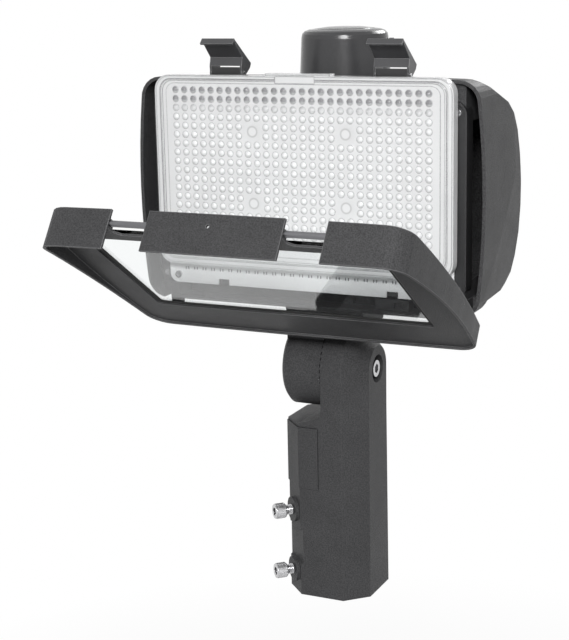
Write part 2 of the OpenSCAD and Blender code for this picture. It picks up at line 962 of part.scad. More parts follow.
module door_ear() {
    difference() {
        along_x(hinge_x - hinge_ear_w / 2, hinge_x + hinge_ear_w / 2) {
            translate([hinge_y, hinge_z])
                circle(r = hinge_eye_r);
            polygon([
                [hinge_y - 3.3, hinge_z + 3.2], [-75, door_z + 4], [-75, door_z + 0.3],
                [-70, door_z + 0.3], [hinge_y + 3.3, hinge_z - 3.2]
            ]);
        }
        rod_x(hinge_x - 10, hinge_x + 10, hinge_y, hinge_z, hinge_pin_r + run_gap);
    }
}

module door_shape() {
    difference() {
        intersection() {
            door_slice(0, 50)
                door_outline(0);
            along_x(-180, 180)
                polygon(concat(
                    [[door_back, door_z + door_h * 1.03], [door_back, door_z - 5]],
                    [for (i = [0:1:12])
                        let (s = i / 12 * 1.05 - 0.02)
                        [door_back - skirt(s), door_z + door_h * s]]
                ));
        }
        // hollow behind the bezel, and the dish in front of it
        door_slice(-1, bezel_back)
            door_outline(door_wall);
        door_slice(bezel_front, 60)
            door_outline(door_wall);
        // window
        along_y(-120, -60)
            window_outline(0);
        // notches that the latches drop into
        for (x = [-notch_x, notch_x]) {
            translate([x - notch_w / 2, door_back - 60, door_z + door_h - 4])
                cube([notch_w, 70, 10]);
            along_y(door_back - 20, door_back - 10)
                translate([x, door_z])
                    polygon([
                        [-notch_w / 2 + 5, pocket_v], [notch_w / 2 - 5, pocket_v],
                        [notch_w / 2, pocket_v + 5], [notch_w / 2, door_h + 6],
                        [-notch_w / 2, door_h + 6], [-notch_w / 2, pocket_v + 5]
                    ]);
        }
    }
}

module bar_bosses() {
    for (x = [-notch_x, notch_x], s = [-1, 1])
        translate([x + s * (notch_w / 2 + 3) - 3, door_back - bezel_back - 0.1, door_z + bar_v - 5])
            cube([6, bezel_back + 0.1 - 7.6, 6.3]);
}

// rods where the two latches catch
module bar_rods(reach, r) {
    for (x = [-notch_x, notch_x])
        rod_x(x - notch_w / 2 - reach, x + notch_w / 2 + reach, door_back - bar_w, door_z + bar_v, r);
}

module door_frame() {
    color(charcoal)
        door_pose()
            difference() {
                union() {
                    door_shape();
                    bar_bosses();
                    both_sides()
                        door_ear();
                }
                bar_rods(4.8, bar_r + 0.05);
                // drain hole in the free edge and peep hole in the right side
                translate([-4.7, door_back - 11, door_z + door_h - 8])
                    cylinder(r = 1.5, h = 20);
                rod_x(door_half_w - 18, door_half_w + 11, door_back - 6.8, door_z + 78.6, 1);
                clip_spots()
                    rod_y(0, 5, 0, 0, 1.3);
            }
}

module catch_bars() {
    color(steel)
        door_pose()
            bar_rods(4.6, bar_r);
}

module door_glass() {
    color([0.8, 0.85, 0.87, 0.25])
        door_pose()
            door_slice(glass_back, bezel_back - 1)
                window_outline(glass_lap);
}

module glass_gasket() {
    color(black)
        door_pose()
            door_slice(bezel_back - 1, bezel_back)
                difference() {
                    window_outline(glass_lap);
                    window_outline(-gasket_show);
                }
}

// places of the glass clips on the back of the bezel
module clip_spots() {
    for (v = clip_v, s = [-1, 1])
        translate([s * (opening_half_w + 14), door_back - bezel_back - 1.5, door_z + v])
            children();
    for (u = clip_u)
        translate([u, door_back - bezel_back - 1.5, door_z + opening_low - 15])
            children();
}

// clip bent over the glass: its foot beside the glass and its plate behind it
module glass_clip(x0, x1, z0, z1, foot_x0, foot_z1) {
    translate([x0, door_back - glass_back, z0])
        cube([x1 - x0, 1.5, z1 - z0]);
    translate([foot_x0, door_back - bezel_back, z0])
        cube([x1 - foot_x0, bezel_back - glass_back, foot_z1 - z0]);
}

module glass_clips() {
    color(steel)
        door_pose()
            difference() {
                union() {
                    both_sides()
                        for (v = clip_v)
                            glass_clip(
                                opening_half_w + 3, opening_half_w + 18, door_z + v - 5, door_z + v + 5,
                                opening_half_w + 9, door_z + v + 5
                            );
                    for (u = clip_u)
                        glass_clip(
                            u - 5, u + 5, door_z + opening_low - 19, door_z + opening_low - 3,
                            u - 5, door_z + opening_low - 10
                        );
                }
                clip_spots()
                    rod_y(0, 12, 0, 0, 1.4);
            }
}

module clip_screws() {
    color(steel)
        door_pose()
            clip_spots() {
                rod_y(0.2, bezel_back - glass_back + 3, 0, 0, 1.2);
                rod_y(bezel_back - glass_back + 3, bezel_back - glass_back + 4.2, 0, 0, 2.2);
            }
}

module latch_brackets() {
    color(black)
        latch_spots()
            difference() {
                union() {
                    translate([-13, -59.5, pocket_floor])
                        cube([26, 14.5, 1.6]);
                    along_x(-14.15, 14.15)
                        polygon([
                            [-59.5, pocket_floor + 1.6], [-59.5, latch_z + 5.4],
                            [-57.9, latch_z + 5.4], [-57.9, pocket_floor + 1.6]
                        ]);
                    along_x(-13, 13)
                        polygon([
                            [-59.5, pocket_floor], [-59.5, pocket_floor + 4],
                            [-57.9, pocket_floor + 4], [-57.9, pocket_floor]
                        ]);
                    for (x = [-13, 11.2])
                        along_x(x, x + sheet) {
                            translate([latch_y, latch_z])
                                circle(r = 3.6);
                            polygon([
                                [-59.5, pocket_floor], [-59.5, latch_z], [-52.4, latch_z],
                                [-49, pocket_floor]
                            ]);
                        }
                }
                rod_x(-14, 14, latch_y, latch_z, latch_pin_r + 0.05);
                for (x = [-6, 6])
                    translate([x, latch_screw_y, pocket_floor - 1])
                        cylinder(r = 1.7, h = 4);
            }
}

module latch_pins() {
    color(steel)
        latch_spots()
            rod_x(-17, 17, latch_y, latch_z, latch_pin_r);
}

module latch_screws() {
    color(steel)
        latch_spots()
            for (x = [-6, 6]) {
                translate([x, latch_screw_y, pocket_floor - 3.5])
                    cylinder(r = 1.5, h = 5.2);
                translate([x, latch_screw_y, pocket_floor + 1.6])
                    cylinder(r = 2.8, h = 1.8);
            }
}

// bent strip of the latch: front plate, lip and the hook at its end, all measured from its pin
module latch(x) {
    color(charcoal)
        translate([x, latch_y, latch_z])
            difference() {
                union() {
                    along_x(-latch_w / 2, latch_w / 2)
                        polygon([
                            [-4, 6.5], [-2, 14], [-16.9, 28.9], [-19.9, 25.9], [-21.2, 27.2],
                            [-16.9, 31.5], [0, 14.6], [-2.2, 6.5]
                        ]);
                    for (s = [-latch_w / 2, latch_w / 2 - sheet])
                        along_x(s, s + sheet) {
                            polygon([
                                [-4, 6.5], [-2, 14], [-16.9, 29.7], [-15.5, 30.1], [15, 8],
                                [13, 4], [3, -2.5], [-3.2, -2.2]
                            ]);
                            circle(r = 4);
                        }
                }
                rod_x(-20, 20, 0, 0, latch_pin_r + run_gap);
            }
}

module latch_left() {
    latch(-latch_x);
}

module latch_right() {
    latch(latch_x);
}

slipfitter();
splice_cover();
clamp_bolt_lower();
clamp_bolt_upper();
knuckle_bolt();
knuckle_washers();
knuckle_nut();
head_knuckle();
bracket_gasket();
bracket_screws();
housing();
hinge_pins();
led_tray();
tray_screws();
led_board();
board_screws();
lens_plate();
lens_screws();
driver();
driver_screws();
terminal_block();
photocell_socket();
photocell_blades();
photocell_base();
photocell_cap();
photocell_eye();
door_frame();
catch_bars();
door_glass();
glass_gasket();
glass_clips();
clip_screws();
latch_brackets();
latch_pins();
latch_screws();
latch_left();
latch_right();
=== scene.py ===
"""Looks of the pole-top area flood light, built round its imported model."""

import json
import logging
import math
from collections.abc import Callable
from dataclasses import dataclass, replace
from enum import Enum

import bpy
from mathutils import Matrix, Vector

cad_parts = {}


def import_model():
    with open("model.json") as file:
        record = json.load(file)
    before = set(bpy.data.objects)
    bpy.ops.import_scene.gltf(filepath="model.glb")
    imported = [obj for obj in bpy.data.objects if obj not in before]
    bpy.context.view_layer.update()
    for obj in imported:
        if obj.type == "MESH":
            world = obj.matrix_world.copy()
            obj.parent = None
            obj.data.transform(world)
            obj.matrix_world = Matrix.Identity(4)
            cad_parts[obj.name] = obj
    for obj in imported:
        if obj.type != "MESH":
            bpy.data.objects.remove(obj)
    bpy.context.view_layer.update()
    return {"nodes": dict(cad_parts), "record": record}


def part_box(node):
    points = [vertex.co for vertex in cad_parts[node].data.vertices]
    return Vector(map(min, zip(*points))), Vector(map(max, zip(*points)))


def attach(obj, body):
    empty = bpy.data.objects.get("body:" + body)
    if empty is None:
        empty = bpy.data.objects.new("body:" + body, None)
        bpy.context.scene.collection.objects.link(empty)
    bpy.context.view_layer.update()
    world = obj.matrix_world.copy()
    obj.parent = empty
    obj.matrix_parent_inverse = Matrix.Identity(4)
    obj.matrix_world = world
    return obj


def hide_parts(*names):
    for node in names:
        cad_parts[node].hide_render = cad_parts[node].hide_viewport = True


Colour = tuple[float, float, float]
Point = tuple[float, float, float]
Socket = bpy.types.NodeSocket

LOG = logging.getLogger("flood_light")
MM = 0.001
WHITE: Colour = (1.0, 1.0, 1.0)

# a face looks along an axis where its normal's part along that axis is larger
FACING = 0.9
# points nearer than this count as one place
TOUCH = 0.05 * MM


class Slot(Enum):
    """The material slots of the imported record."""

    POWDER_COAT = "powder_coat"
    BRIGHT_STEEL = "bright_steel"
    DULL_STEEL = "dull_steel"
    BLACK_RUBBER = "black_rubber"
    BLACK_SHEET = "black_sheet"
    WHITE_BOARD = "white_board"
    CLEAR_LENS = "clear_lens"
    DRIVER_CASE = "driver_case"
    DARK_PLASTIC = "dark_plastic"
    BRASS_CONTACT = "brass_contact"
    CELL_PLASTIC = "cell_plastic"
    EYE_WINDOW = "eye_window"
    CLEAR_GLASS = "clear_glass"
    LATCH_SHEET = "latch_sheet"


# Measures that two sub-assemblies share


@dataclass(frozen=True)
class LensGrid:
    """The grid of lenses, which the diodes and the bosses behind the plate follow."""

    columns: int = 28
    rows: int = 18
    pitch_x: float = 9.0 * MM
    pitch_z: float = 8.047 * MM
    boss_columns: int = 5
    boss_rows: int = 4

    @property
    def middle_z(self) -> float:
        """Returns the height of the middle, half-way between the plate's screws."""
        low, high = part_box("lens_screws")
        return (low.z + high.z) / 2

    @property
    def boss(self) -> tuple[float, float]:
        """Returns how far the bosses stand from the middle, across and up."""
        return self.boss_columns * self.pitch_x, self.boss_rows * self.pitch_z

    def across(self) -> list[float]:
        """Returns the columns' places from the middle."""
        return [(i - (self.columns - 1) / 2) * self.pitch_x for i in range(self.columns)]

    def upwards(self) -> list[float]:
        """Returns the rows' heights over the middle."""
        return [(i - (self.rows - 1) / 2) * self.pitch_z for i in range(self.rows)]


GRID = LensGrid()


# Node trees


class Tree:
    """Adds and joins the nodes of one node tree."""

    def __init__(self, tree: bpy.types.NodeTree) -> None:
        """Keeps the tree that the nodes go into."""
        self.tree = tree

    def add(self, kind: str, **values: object) -> bpy.types.Node:
        """Adds one node.

        Args:
            kind: Blender's name of the node type.
            values: Properties of the node by name, or plain values of its inputs.

        Returns:
            The new node.
        """
        node = self.tree.nodes.new(kind)
        for name, value in values.items():
            if hasattr(node, name):
                setattr(node, name, value)
            else:
                node.inputs[name.replace("_", " ").title()].default_value = value
        return node

    def link(self, start: Socket, end: Socket) -> None:
        """Joins an output to an input."""
        self.tree.links.new(start, end)

    def feed(self, value: Socket | Colour | float, end: Socket) -> None:
        """Gives an input its value.

        Args:
            value: An output to join it to, or a plain colour or number.
            end: The input.
        """
        if isinstance(value, Socket):
            self.link(value, end)
        elif isinstance(value, tuple):
            end.default_value = (*value, 1.0)
        else:
            end.default_value = value

    def ramp(
        self,
        value: Socket,
        low: float = 0.0,
        high: float = 1.0,
        first: float = 0.0,
        last: float = 1.0,
    ) -> Socket:
        """Stretches a value, and holds it level beyond both ends.

        Args:
            value: The value's output.
            low: Where the result is first.
            high: Where the result is last.
            first: The result at low.
            last: The result at high.

        Returns:
            The stretched value's output.
        """
        node = self.add(
            "ShaderNodeMapRange", clamp=True, from_min=low, from_max=high, to_min=first, to_max=last
        )
        self.link(value, node.inputs["Value"])
        return node.outputs["Result"]

    def mix(
        self,
        share: Socket | float,
        first: Socket | Colour,
        second: Socket | Colour,
        blend: str = "MIX",
    ) -> Socket:
        """Mixes two colours.

        Args:
            share: The second colour's share, plain or from an output.
            first: The colour at 0.
            second: The colour at 1.
            blend: Blender's name of the way they mix.

        Returns:
            The mixed colour's output.
        """
        node = self.add("ShaderNodeMix", data_type="RGBA", blend_type=blend)
        # the colour sockets share their names with the float and vector ones
        at_zero, at_one = [s for s in node.inputs if s.type == "RGBA"]
        self.feed(share, node.inputs["Factor"])
        self.feed(first, at_zero)
        self.feed(second, at_one)
        return next(s for s in node.outputs if s.type == "RGBA")

    def math(self, operation: str, *values: Socket | float) -> Socket:
        """Works out a value.

        Args:
            operation: Blender's name of the operation.
            values: Its inputs in order, plain or from outputs.

        Returns:
            The result's output.
        """
        node = self.add("ShaderNodeMath", operation=operation)
        for value, socket in zip(values, node.inputs):
            self.feed(value, socket)
        return node.outputs["Value"]

    def length(self, vector: Socket) -> Socket:
        """Works out the length of a vector.

        Args:
            vector: The vector's output.

        Returns:
            The length's output.
        """
        node = self.add("ShaderNodeVectorMath", operation="LENGTH")
        self.link(vector, node.inputs[0])
        return node.outputs["Value"]

    def place(self) -> Socket:
        """Returns the output of the place in the object's own axes."""
        return self.add("ShaderNodeTexCoord").outputs["Object"]


class Groups:
    """The node groups that several finishes share."""

    @staticmethod
    def _new(name: str, inputs: dict[str, float], outputs: dict[str, str]) -> bpy.types.NodeTree:
        """Starts a group with its sockets.

        Args:
            name: The group's name.
            inputs: Float inputs and their plain values.
            outputs: Output names and socket types.

        Returns:
            The new group.
        """
        group = bpy.data.node_groups.new(name, "ShaderNodeTree")
        sockets = group.interface
        for label, value in inputs.items():
            socket = sockets.new_socket(label, in_out="INPUT", socket_type="NodeSocketFloat")
            socket.default_value = value
        for label, kind in outputs.items():
            sockets.new_socket(label, in_out="OUTPUT", socket_type=kind)
        return group

    @staticmethod
    def rounded_edges() -> bpy.types.NodeTree:
        """Builds the group that rounds sharp edges and finds them.

        Returns:
            The group, with the outputs Normal and Edge.
        """
        name = "rounded_edges"
        if name in bpy.data.node_groups:
            return bpy.data.node_groups[name]
        group = Groups._new(
            name, {"Radius": 0.6 * MM}, {"Normal": "NodeSocketVector", "Edge": "NodeSocketFloat"}
        )
        tree = Tree(group)
        start, end = tree.add("NodeGroupInput"), tree.add("NodeGroupOutput")
        bevel = tree.add("ShaderNodeBevel", samples=6)
        shape = tree.add("ShaderNodeNewGeometry")
        agreement = tree.add("ShaderNodeVectorMath", operation="DOT_PRODUCT")
        tree.link(start.outputs["Radius"], bevel.inputs["Radius"])
        tree.link(bevel.outputs["Normal"], agreement.inputs[0])
        tree.link(shape.outputs["Normal"], agreement.inputs[1])
        tree.link(bevel.outputs["Normal"], end.inputs["Normal"])
        # how far the rounded and the true normal agree where an edge begins and where it is full
        flat, full_edge = 0.998, 0.90
        edge = tree.ramp(agreement.outputs["Value"], flat, full_edge)
        # the Edge mask, along which the finishes paint light and shade onto the edges
        tree.link(edge, end.inputs["Edge"])
        return group

    @staticmethod
    def grain() -> bpy.types.NodeTree:
        """Builds the group of fine grain and slow mottling.

        Returns:
            The group, with the outputs Grain and Mottle.
        """
        name = "grain_and_mottle"
        if name in bpy.data.node_groups:
            return bpy.data.node_groups[name]
        group = Groups._new(
            name,
            {"Grain Scale": 900.0, "Mottle Scale": 30.0},
            {"Grain": "NodeSocketFloat", "Mottle": "NodeSocketFloat"},
        )
        tree = Tree(group)
        start, end = tree.add("NodeGroupInput"), tree.add("NodeGroupOutput")
        place = tree.place()
        for label, detail, spread in (("Grain", 2.0, 0.12), ("Mottle", 4.0, 0.2)):
            noise = tree.add("ShaderNodeTexNoise", detail=detail, roughness=0.6)
            tree.link(place, noise.inputs["Vector"])
            tree.link(start.outputs[f"{label} Scale"], noise.inputs["Scale"])
            stretched = tree.ramp(noise.outputs["Fac"], 0.5 - spread, 0.5 + spread)
            tree.link(stretched, end.inputs[label])
        return group


# Finishes


@dataclass(frozen=True)
class Finish:
    """A solid finish with grain, mottling, softly rounded edges and, where an edge colour is given,
    painted light along the edges.
    """

    name: str
    colour: Colour
    roughness: float
    metallic: float = 0.0
    specular: float = 0.5
    coat: float = 0.0
    edge_radius: float = 0.6 * MM
    # colour painted along the edges: a painted highlight where it is lighter than the finish,
    # painted shade where it is darker; the share below is how much of it is painted
    painted_edge_shading: Colour | None = None
    painted_edge_share: float = 0.25
    grain_scale: float = 900.0
    grain_depth: float = 0.03 * MM
    grain_colour: float = 0.06
    mottle_scale: float = 30.0
    mottle_colour: float = 0.08
    mottle_roughness: float = 0.06

    def material(self) -> bpy.types.Material:
        """Returns the material, built at its first use."""
        known = bpy.data.materials.get(self.name)
        return known if known else self.build()

    def _shaded(self, share: float) -> Colour:
        """Returns the base colour, lighter or darker by a share."""
        return tuple(min(1.0, c * (1 + share)) for c in self.colour)

    def build(self) -> bpy.types.Material:
        """Builds the material's nodes.

        Returns:
            The new material.
        """
        material = bpy.data.materials.new(self.name)
        material.use_nodes = True
        tree = Tree(material.node_tree)
        shader = material.node_tree.nodes["Principled BSDF"]
        shader.inputs["Metallic"].default_value = self.metallic
        shader.inputs["Specular IOR Level"].default_value = self.specular
        shader.inputs["Coat Weight"].default_value = self.coat
        grain = tree.add(
            "ShaderNodeGroup",
            node_tree=Groups.grain(),
            grain_scale=self.grain_scale,
            mottle_scale=self.mottle_scale,
        )
        rounded = tree.add(
            "ShaderNodeGroup", node_tree=Groups.rounded_edges(), radius=self.edge_radius
        )

        pale = self._shaded(self.mottle_colour)
        mottled = tree.mix(grain.outputs["Mottle"], self._shaded(-self.mottle_colour), pale)
        dark = 1 - 2 * self.grain_colour
        speckle = tree.mix(grain.outputs["Grain"], (dark,) * 3, WHITE)
        colour = tree.mix(1.0, mottled, speckle, "MULTIPLY")
        # painted light along the edges: a painted highlight where the edge colour is lighter,
        # painted shade where it is darker
        if self.painted_edge_shading:
            share = tree.math("MULTIPLY", rounded.outputs["Edge"], self.painted_edge_share)
            colour = tree.mix(share, colour, self.painted_edge_shading)
        tree.link(colour, shader.inputs["Base Color"])

        rough = tree.ramp(
            grain.outputs["Mottle"],
            first=self.roughness - self.mottle_roughness,
            last=self.roughness + self.mottle_roughness,
        )
        tree.link(rough, shader.inputs["Roughness"])

        bump = tree.add("ShaderNodeBump", strength=1.0, distance=self.grain_depth)
        tree.link(grain.outputs["Grain"], bump.inputs["Height"])
        tree.link(rounded.outputs["Normal"], bump.inputs["Normal"])
        tree.link(bump.outputs["Normal"], shader.inputs["Normal"])
        return material


@dataclass(frozen=True)
class ClearFinish(Finish):
    """A see-through finish of glass or moulded plastic."""

    transmission: float = 1.0
    ior: float = 1.47

    def build(self) -> bpy.types.Material:
        """Builds the material's nodes.

        Returns:
            The new material.
        """
        material = super().build()
        shader = material.node_tree.nodes["Principled BSDF"]
        shader.inputs["Transmission Weight"].default_value = self.transmission
        shader.inputs["IOR"].default_value = self.ior
        return material


@dataclass(frozen=True)
class LensFinish(ClearFinish):
    """A frosted moulding with whiter domes, and with painted shade where no board backs them: the
    upper part of each row painted dark, the lower part painted lighter as a highlight.
    """

    grid: LensGrid = GRID
    dome_high: float = 1.9 * MM
    dome_rise: float = 0.7 * MM
    dome_colour: Colour = (0.93, 0.935, 0.94)
    board_fade: float = 5.0 * MM
    # domes with no board behind them: the lower part of each row painted lighter as a highlight,
    # the upper part painted dark as shade
    unbacked_lower_highlight: Colour = (0.74, 0.745, 0.75)
    unbacked_upper_shade: Colour = (0.30, 0.30, 0.31)
    # the shares of a row's height between which the lower colour, a painted highlight, gives way to
    # the upper one, painted shade
    unbacked_change: tuple[float, float] = (0.2, 0.5)
    boss_r: float = 5.6 * MM
    boss_bore_r: float = 4.2 * MM
    boss_colour: Colour = (0.66, 0.665, 0.67)
    boss_fade: float = 0.8 * MM

    def _from_boss(self, tree: Tree, x: Socket, up: Socket) -> Socket:
        """Works out the distance to the nearest of the four bosses behind the plate.

        Args:
            tree: The material's nodes.
            x: The place across the plate.
            up: The height over the middle of the lens grid.

        Returns:
            The distance's output.
        """
        gap = tree.add("ShaderNodeCombineXYZ")
        for label, start, reach in zip("XZ", (x, up), self.grid.boss):
            past = tree.math("SUBTRACT", tree.math("ABSOLUTE", start), reach)
            tree.link(past, gap.inputs[label])
        return tree.length(gap.outputs["Vector"])

    def _dome(self, tree: Tree, z: Socket, up: Socket) -> Socket:
        """Colours the domes, with painted shade and a painted highlight where no board is behind
        them.

        Args:
            tree: The material's nodes.
            z: The height.
            up: The height over the middle of the lens grid.

        Returns:
            The colour's output.
        """
        board_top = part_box("led_board")[1].z
        # painted shade on domes past the board's top, where no board is behind them
        past = tree.ramp(z, board_top - self.board_fade, board_top + self.board_fade)
        in_row = tree.math("FRACT", tree.math("DIVIDE", up, self.grid.pitch_z))
        # the upper part of each row painted dark as shade, the lower part lighter as a highlight
        upper = tree.ramp(in_row, *self.unbacked_change)
        unbacked = tree.mix(upper, self.unbacked_lower_highlight, self.unbacked_upper_shade)
        return tree.mix(past, self.dome_colour, unbacked)

    def build(self) -> bpy.types.Material:
        """Builds the material's nodes.

        Returns:
            The new material.
        """
        material = super().build()
        tree = Tree(material.node_tree)
        base = material.node_tree.nodes["Principled BSDF"].inputs["Base Color"]
        flat = base.links[0].from_socket
        axes = tree.add("ShaderNodeSeparateXYZ")
        tree.link(tree.place(), axes.inputs["Vector"])
        x, y, z = axes.outputs
        up = tree.math("SUBTRACT", z, self.grid.middle_z)

        away = self._from_boss(tree, x, up)
        rings = ((self.boss_r, self.boss_colour), (self.boss_bore_r, self.dome_colour))
        for radius, colour in rings:
            flat = tree.mix(tree.ramp(away, radius, radius - self.boss_fade), flat, colour)

        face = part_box("lens_plate")[0].y + self.dome_high
        on_dome = tree.ramp(y, face, face - self.dome_rise)
        tree.link(tree.mix(on_dome, flat, self._dome(tree, z, up)), base)
        return material


FINISHES: dict[Slot, Finish] = {
    Slot.POWDER_COAT: Finish(
        "textured_powder_coat",
        (0.067, 0.067, 0.069),
        0.44,
        specular=0.09,
        edge_radius=0.8 * MM,
        # painted highlight along the edges of the coat
        painted_edge_shading=(0.17, 0.17, 0.175),
        painted_edge_share=0.15,
        grain_depth=0.12 * MM,
        grain_colour=0.2,
    ),
    Slot.BRIGHT_STEEL: Finish(
        "zinc_plated_steel",
        (0.56, 0.56, 0.57),
        0.24,
        metallic=1.0,
        edge_radius=0.3 * MM,
        grain_scale=2600,
        grain_depth=0.006 * MM,
        mottle_scale=160,
    ),
    Slot.DULL_STEEL: Finish(
        "blackened_steel",
        (0.20, 0.20, 0.21),
        0.34,
        metallic=1.0,
        edge_radius=0.3 * MM,
        grain_scale=1800,
        grain_depth=0.008 * MM,
    ),
    Slot.BLACK_RUBBER: Finish(
        "black_rubber", (0.016, 0.016, 0.016), 0.75, edge_radius=0.4 * MM, grain_scale=1800
    ),
    Slot.BLACK_SHEET: Finish(
        "black_painted_sheet",
        (0.022, 0.022, 0.023),
        0.42,
        edge_radius=0.4 * MM,
        # painted highlight along the edges of the sheet
        painted_edge_shading=(0.08, 0.08, 0.08),
        grain_scale=1500,
        grain_depth=0.02 * MM,
    ),
    Slot.WHITE_BOARD: Finish(
        "white_board_mask",
        (0.88, 0.885, 0.89),
        0.38,
        edge_radius=0.2 * MM,
        grain_depth=0.004 * MM,
        grain_colour=0.02,
        mottle_colour=0.02,
    ),
    Slot.CLEAR_LENS: LensFinish(
        "frosted_polycarbonate",
        (0.86, 0.865, 0.87),
        0.14,
        edge_radius=1.1 * MM,
        # painted shade: dark rings round the domes and along the plate's steps
        painted_edge_shading=(0.18, 0.18, 0.19),
        painted_edge_share=0.8,
        grain_depth=0.01 * MM,
        grain_colour=0.01,
        mottle_colour=0.02,
        mottle_roughness=0.03,
        transmission=0.32,
        ior=1.5,
    ),
    Slot.DRIVER_CASE: Finish(
        "mill_aluminium", (0.55, 0.56, 0.57), 0.36, metallic=1.0, grain_scale=1500
    ),
    Slot.DARK_PLASTIC: Finish("moulded_dark_plastic", (0.028, 0.028, 0.03), 0.5, grain_scale=2000),
    Slot.BRASS_CONTACT: Finish("plain_brass", (0.66, 0.48, 0.2), 0.3, metallic=1.0),
    Slot.CELL_PLASTIC: Finish(
        "satin_cell_plastic",
        (0.050, 0.050, 0.052),
        0.16,
        specular=0.3,
        edge_radius=0.8 * MM,
        # painted highlight along the rims of the cell
        painted_edge_shading=(0.12, 0.12, 0.12),
        grain_scale=1800,
        grain_depth=0.02 * MM,
    ),
    Slot.EYE_WINDOW: Finish("smoked_window", (0.10, 0.10, 0.11), 0.12, coat=0.5),
    Slot.CLEAR_GLASS: ClearFinish(
        "clear_tempered_glass",
        (0.93, 0.95, 0.95),
        0.02,
        edge_radius=0.3 * MM,
        grain_depth=0.0,
        grain_colour=0.0,
        mottle_colour=0.0,
        mottle_roughness=0.01,
        ior=1.33,
    ),
    Slot.LATCH_SHEET: Finish(
        "dark_spring_steel",
        (0.052, 0.052, 0.055),
        0.36,
        # painted highlight along the folds and edges
        painted_edge_shading=(0.34, 0.34, 0.34),
        painted_edge_share=0.6,
        grain_scale=1600,
    ),
}

# the door's rims are rounder and carry a stronger painted highlight along their edges
OWN_FINISHES: dict[str, Finish] = {
    "door_frame": replace(
        FINISHES[Slot.POWDER_COAT],
        name="powder_coat_with_painted_rim_highlight",
        edge_radius=1.4 * MM,
        # painted highlight along the door's rims
        painted_edge_shading=(0.24, 0.24, 0.245),
        painted_edge_share=0.6,
    )
}


# Mesh work by operators


class Modeller:
    """Short forms of the operators that shape a piece by hand."""

    @staticmethod
    def deselect() -> None:
        """Leaves nothing selected."""
        if bpy.context.mode != "OBJECT":
            bpy.ops.object.mode_set(mode="OBJECT")
        bpy.ops.object.select_all(action="DESELECT")

    @staticmethod
    def only(piece: bpy.types.Object) -> None:
        """Makes a piece the one selected and active object.

        Args:
            piece: The piece.
        """
        Modeller.deselect()
        piece.select_set(True)
        bpy.context.view_layer.objects.active = piece

    @staticmethod
    def settle(piece: bpy.types.Object) -> None:
        """Puts a piece's place into its mesh, so that its object sits at the origin."""
        Modeller.only(piece)
        bpy.ops.object.transform_apply(location=True, rotation=True, scale=True)

    @staticmethod
    def place(piece: bpy.types.Object, matrix: Matrix) -> None:
        """Moves a piece and settles it there.

        Args:
            piece: The piece.
            matrix: The move.
        """
        piece.matrix_world = matrix @ piece.matrix_world
        bpy.context.view_layer.update()
        Modeller.settle(piece)

    @staticmethod
    def block(size: Point) -> bpy.types.Object:
        """Adds a block in the middle of the axes.

        Args:
            size: Its width, depth and height.

        Returns:
            The block.
        """
        Modeller.deselect()
        bpy.ops.mesh.primitive_cube_add(size=1, location=(0, 0, 0))
        block = bpy.context.active_object
        block.scale = size
        Modeller.settle(block)
        return block

    @staticmethod
    def _deselect_mesh(kind: str) -> None:
        """Leaves nothing of the active piece's mesh selected, in object mode.

        Args:
            kind: Blender's name of what is selected next, faces or points.
        """
        bpy.ops.object.mode_set(mode="EDIT")
        bpy.ops.mesh.select_mode(type=kind)
        bpy.ops.mesh.select_all(action="DESELECT")
        bpy.ops.object.mode_set(mode="OBJECT")

    @staticmethod
    def pick_faces(piece: bpy.types.Object, test: Callable[[Vector], bool]) -> None:
        """Selects faces of the active piece and enters edit mode.

        Args:
            piece: The active piece.
            test: Tells by a face's normal whether it is selected.
        """
        Modeller._deselect_mesh("FACE")
        for face in piece.data.polygons:
            face.select = test(face.normal)
        bpy.ops.object.mode_set(mode="EDIT")

    @staticmethod
    def pick_points(piece: bpy.types.Object, test: Callable[[Vector], bool]) -> None:
        """Selects points of the active piece and enters edit mode.

        Args:
            piece: The active piece.
            test: Tells by a point's place whether it is selected.
        """
        Modeller._deselect_mesh("VERT")
        for vertex in piece.data.vertices:
            vertex.select = test(vertex.co)
        bpy.ops.object.mode_set(mode="EDIT")

    @staticmethod
    def join(pieces: list[bpy.types.Object], name: str) -> bpy.types.Object:
        """Joins pieces into one object.

        Args:
            pieces: The objects, of which the first stays.
            name: The joined object's name.

        Returns:
            The joined object.
        """
        Modeller.only(pieces[0])
        for piece in pieces[1:]:
            piece.select_set(True)
        bpy.ops.object.join()
        joined = bpy.context.view_layer.objects.active
        joined.name = name
        joined.data.name = name
        return joined

    @staticmethod
    def apply(piece: bpy.types.Object) -> None:
        """Applies all modifiers of a piece.

        Args:
            piece: The piece.
        """
        Modeller.only(piece)
        for modifier in list(piece.modifiers):
            bpy.ops.object.modifier_apply(modifier=modifier.name)

    @staticmethod
    def smooth(piece: bpy.types.Object, degrees: float) -> None:
        """Shades a piece smooth up to an angle."""
        Modeller.only(piece)
        bpy.ops.object.shade_smooth_by_angle(angle=math.radians(degrees))

    @staticmethod
    def dress(piece: bpy.types.Object, slot: Slot, body: str) -> None:
        """Gives a piece its finish, taken from a slot, and its body.

        Args:
            piece: The finished piece.
            slot: The material slot that it takes its finish from.
            body: The body that it rides on.
        """
        piece.data.materials.clear()
        piece.data.materials.append(FINISHES[slot].material())
        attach(piece, body)
        LOG.info("%s rides on %s", piece.name, body)


# Sub-assemblies


